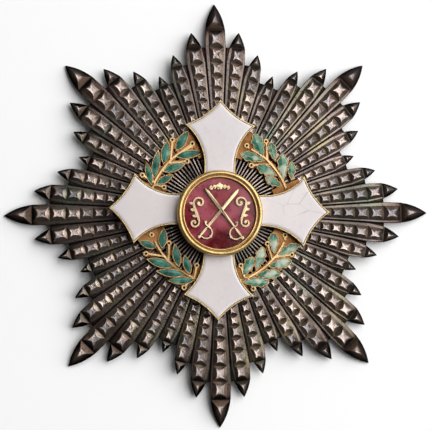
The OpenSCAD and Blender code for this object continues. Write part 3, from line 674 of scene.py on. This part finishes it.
field_low, field_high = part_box("medallion_enamel")
field_r, crown = 6.95, 0.1
field_foot, field_top = field_low.z / MM, field_high.z / MM
crown_shares = (1, 0.97, 0.8, 0.6, 0.4, 0.2)
field_profile = (
    [(0, field_foot), (field_r, field_foot)]
    + [(field_r * share, field_top - crown * share ** 2) for share in crown_shares]
    + [(0, field_top)])


def red_glass():
    """Deep red over gold: rosy where the ground shines through, dark where the glass is thick. The
    rosy patches are partly a painted reflection.
    """
    red = Finish("red_glass", 230, 1500, 0.000006, Specular_IOR_Level=0.2)
    # Rosy and pink patches: partly the gold ground, partly a painted reflection.
    tone = red.blend(red.clouds(200, 0.42, 0.56, 5), rgb(140, 54, 62), rgb(86, 20, 26))
    tone = red.blend(red.clouds(140, 0.5, 0.62, 9), tone, rgb(160, 80, 92))
    red.colour(red.blend(red.ramp(red.old.outputs["Specks"], 0.7, 1.6), tone, rgb(60, 10, 14)))
    red.roughness(0.12)
    return red.material


add_piece(
    "red_field", turned_piece(field_profile), red_glass(), "red_enamel", "medallion_enamel",
    unit=MM, sharp=40)

figure_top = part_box("crossed_sabres")[1].z
# Below the rubbed tops the figures' rounded edges and walls are near black: painted shade that
# outlines them.
figure_gold = worn_and_shaded_gilding(
    "figure_gold", rgb(190, 168, 132), rgb(60, 38, 18), rgb(30, 18, 10), 0.3, 0.000004)
for node in ("crossed_sabres", "flourish_left", "flourish_right", "garland"):
    add_piece(f"{node}_gold", soften(cad_copy(node), 0.00012, figure_top - 0.00001),
              figure_gold, "gold", node, sharp=20)


# Back
# A rivet holds cross, wreath and star together. A plain pin between two brackets fastens the star.

def plain_silver():
    """Silver that is only wiped: grey, with brown stains."""
    silver = Finish("back_silver", 140, 2200, 0.00003, Metallic=1.0)
    stains = silver.old.outputs["Patches"]
    silver.colour(silver.blend(stains, rgb(190, 184, 176), rgb(130, 118, 106)))
    silver.roughness(silver.ramp(silver.old.outputs["Specks"], 0, 1, 0.3, 0.45))
    return silver.material


back_silver = plain_silver()
for node in ("centre_rivet", "brooch_pin"):
    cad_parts[node].data.materials.clear()
    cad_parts[node].data.materials.append(back_silver)


# Room
# A pale floor, a large soft light above on the right with two weaker ones lower down, and a camera
# that looks almost straight down.

def area_light(name, place, aim, size, watts):
    light = bpy.data.lights.new(name, "AREA")
    light.shape = "SQUARE"
    light.size = size
    light.energy = watts
    lamp = bpy.data.objects.new(name, light)
    lamp.location = place
    lamp.rotation_euler = (Vector(aim) - Vector(place)).to_track_quat("-Z", "Y").to_euler()
    bpy.context.scene.collection.objects.link(lamp)


FLOOR_HALF = 0.6
floor_shape = bmesh.new()
bmesh.ops.create_grid(floor_shape, x_segments=1, y_segments=1, size=FLOOR_HALF)
floor_mesh = bpy.data.meshes.new("floor")
floor_shape.to_mesh(floor_mesh)
floor_shape.free()
paper = bpy.data.materials.new("pale_paper")
paper.use_nodes = True
paper_shader = paper.node_tree.nodes["Principled BSDF"]
paper_shader.inputs["Base Color"].default_value = rgb(253, 253, 253)
paper_shader.inputs["Roughness"].default_value = 0.9
floor_mesh.materials.append(paper)
floor = bpy.data.objects.new("floor", floor_mesh)
bpy.context.scene.collection.objects.link(floor)

area_light("key", (0.62, 0.28, 0.84), (0, 0, 0), 1.3, 18.0)
area_light("right_card", (1.0, 0.05, 0.45), (0, 0, 0), 0.9, 2.5)
area_light("far_card", (0.15, 1.0, 0.45), (0, 0, 0), 0.9, 0.8)

world = bpy.data.worlds.new("room")
world.use_nodes = True
glow = world.node_tree.nodes["Background"]
glow.inputs["Color"].default_value = (1, 1, 1, 1)
glow.inputs["Strength"].default_value = 0.09
bpy.context.scene.world = world
bpy.context.scene.view_settings.view_transform = "Standard"

# The star's size in the 432 x 430 picture sets the lens, and its place there the camera's shift.
TO_CAMERA = Vector((-0.100, -0.087, 0.991)).normalized()
DISTANCE = 0.5
ROLL = math.radians(0.86)
PICTURE_WIDTH, PICTURE_HEIGHT = 432, 430
CENTRE_PIXEL = (216.9, 214.5)
PIXELS_PER_MM = 4.99
level = Vector((0, 1, 0)).cross(TO_CAMERA).normalized()
rise = TO_CAMERA.cross(level)
right = level * math.cos(ROLL) - rise * math.sin(ROLL)
up = level * math.sin(ROLL) + rise * math.cos(ROLL)
camera_data = bpy.data.cameras.new("camera")
camera_data.sensor_width = 36
camera_data.lens = camera_data.sensor_width * DISTANCE / (PICTURE_WIDTH / PIXELS_PER_MM * MM)
camera_data.shift_x = (PICTURE_WIDTH / 2 - CENTRE_PIXEL[0]) / PICTURE_WIDTH
camera_data.shift_y = (CENTRE_PIXEL[1] - PICTURE_HEIGHT / 2) / PICTURE_WIDTH
camera = bpy.data.objects.new("camera", camera_data)
facing = Matrix((right, up, TO_CAMERA)).transposed().to_4x4()
camera.matrix_world = Matrix.Translation(TO_CAMERA * DISTANCE) @ facing
bpy.context.scene.collection.objects.link(camera)
bpy.context.scene.camera = camera
